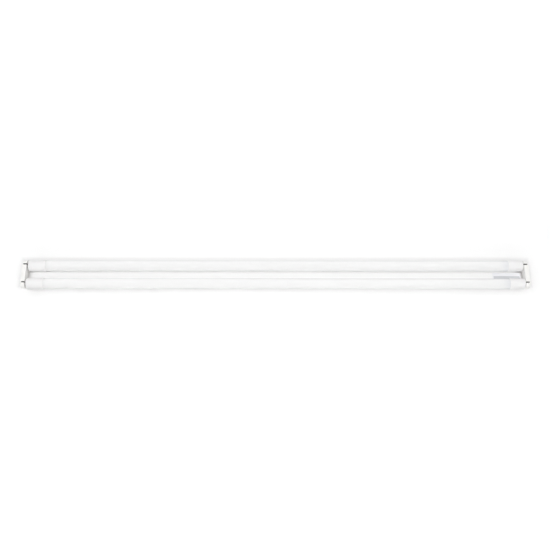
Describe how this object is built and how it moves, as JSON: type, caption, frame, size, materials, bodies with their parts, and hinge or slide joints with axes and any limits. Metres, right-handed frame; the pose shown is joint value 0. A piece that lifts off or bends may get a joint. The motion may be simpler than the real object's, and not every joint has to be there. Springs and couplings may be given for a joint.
{
  "type": "linear light fixture",
  "caption": "Slim twin-tube linear batten light: opal lamp tubes turn in twin end lampholders on a white sheet-metal spine with a mounting tray.",
  "frame": {"origin": "middle of the back face, which rests on the mounting surface", "axes": "+X along the tubes towards the end with the shorter lamp caps, +Y across to the rear tube, +Z out of the mounting surface towards the tubes"},
  "size_m": [1.223, 0.0742, 0.0541],
  "materials": {
    "white_paint": "satin white powder coat",
    "holder_plastic": "moulded warm white plastic, satin",
    "rotor_plastic": "moulded dark grey plastic",
    "cap_plastic": "moulded white plastic, soft gloss",
    "opal_glass": "opal coated glass, satin",
    "pin_brass": "plated brass",
    "contact_brass": "spring brass",
    "zinc_steel": "zinc plated steel",
    "tinned_tag": "tinned copper",
    "grommet_rubber": "black rubber",
    "terminal_plastic": "natural nylon",
    "live_sleeve": "brown sleeve",
    "neutral_sleeve": "blue sleeve",
    "earth_sleeve": "green and yellow sleeve",
    "lead_sleeve": "white sleeve",
    "circuit_board": "green laminate",
    "component_plastic": "black moulded components",
    "strip_aluminium": "white coated aluminium strip",
    "chip_phosphor": "yellow phosphor"
  },
  "bodies": {
    "fixture": {"base_tray": "white_paint", "spine_cover": "white_paint", "left_holder": "holder_plastic", "right_holder": "holder_plastic", "left_holder_back": "holder_plastic", "right_holder_back": "holder_plastic", "left_contacts": "contact_brass", "right_contacts": "contact_brass", "holder_screws": "zinc_steel", "cover_screws": "zinc_steel", "back_screws": "zinc_steel", "cable_grommet": "grommet_rubber", "terminal_block": "terminal_plastic", "terminal_clamps": "contact_brass", "terminal_screws": "zinc_steel", "block_screws": "zinc_steel", "earth_stud": "zinc_steel", "earth_nut": "zinc_steel", "earth_tag": "tinned_tag", "live_wire": "live_sleeve", "neutral_wire": "neutral_sleeve", "earth_wire": "earth_sleeve"},
    "rear_tube": {"rear_glass": "opal_glass", "rear_left_cap": "cap_plastic", "rear_right_cap": "cap_plastic", "rear_left_pins": "pin_brass", "rear_right_pins": "pin_brass", "rear_driver_board": "circuit_board", "rear_end_board": "circuit_board", "rear_driver_components": "component_plastic", "rear_strip_leads": "lead_sleeve", "rear_led_strip": "strip_aluminium", "rear_led_chips": "chip_phosphor"},
    "front_tube": {"front_glass": "opal_glass", "front_left_cap": "cap_plastic", "front_right_cap": "cap_plastic", "front_left_pins": "pin_brass", "front_right_pins": "pin_brass", "front_driver_board": "circuit_board", "front_end_board": "circuit_board", "front_driver_components": "component_plastic", "front_strip_leads": "lead_sleeve", "front_led_strip": "strip_aluminium", "front_led_chips": "chip_phosphor"},
    "rear_left_rotor": {"rear_left_rotor": "rotor_plastic"},
    "rear_right_rotor": {"rear_right_rotor": "rotor_plastic"},
    "front_left_rotor": {"front_left_rotor": "rotor_plastic"},
    "front_right_rotor": {"front_right_rotor": "rotor_plastic"}
  },
  "joints": [
    {"name": "rear_tube_twist", "type": "hinge", "parent": "fixture", "child": "rear_tube", "pos_m": [0.0009, 0.023, 0.04], "axis": [1, 0, 0], "range_deg": [-90, 90]},
    {"name": "rear_left_rotor_turn", "type": "hinge", "parent": "fixture", "child": "rear_left_rotor", "pos_m": [-0.606, 0.023, 0.04], "axis": [1, 0, 0], "range_deg": [-90, 90]},
    {"name": "rear_right_rotor_turn", "type": "hinge", "parent": "fixture", "child": "rear_right_rotor", "pos_m": [0.606, 0.023, 0.04], "axis": [1, 0, 0], "range_deg": [-90, 90]},
    {"name": "front_tube_twist", "type": "hinge", "parent": "fixture", "child": "front_tube", "pos_m": [0.0009, -0.023, 0.04], "axis": [1, 0, 0], "range_deg": [-90, 90]},
    {"name": "front_left_rotor_turn", "type": "hinge", "parent": "fixture", "child": "front_left_rotor", "pos_m": [-0.606, -0.023, 0.04], "axis": [1, 0, 0], "range_deg": [-90, 90]},
    {"name": "front_right_rotor_turn", "type": "hinge", "parent": "fixture", "child": "front_right_rotor", "pos_m": [0.606, -0.023, 0.04], "axis": [1, 0, 0], "range_deg": [-90, 90]}
  ],
  "couplings": [
    {"joint": "rear_left_rotor_turn", "follows": "rear_tube_twist", "ratio": 1},
    {"joint": "rear_right_rotor_turn", "follows": "rear_tube_twist", "ratio": 1},
    {"joint": "front_left_rotor_turn", "follows": "front_tube_twist", "ratio": 1},
    {"joint": "front_right_rotor_turn", "follows": "front_tube_twist", "ratio": 1}
  ]
}
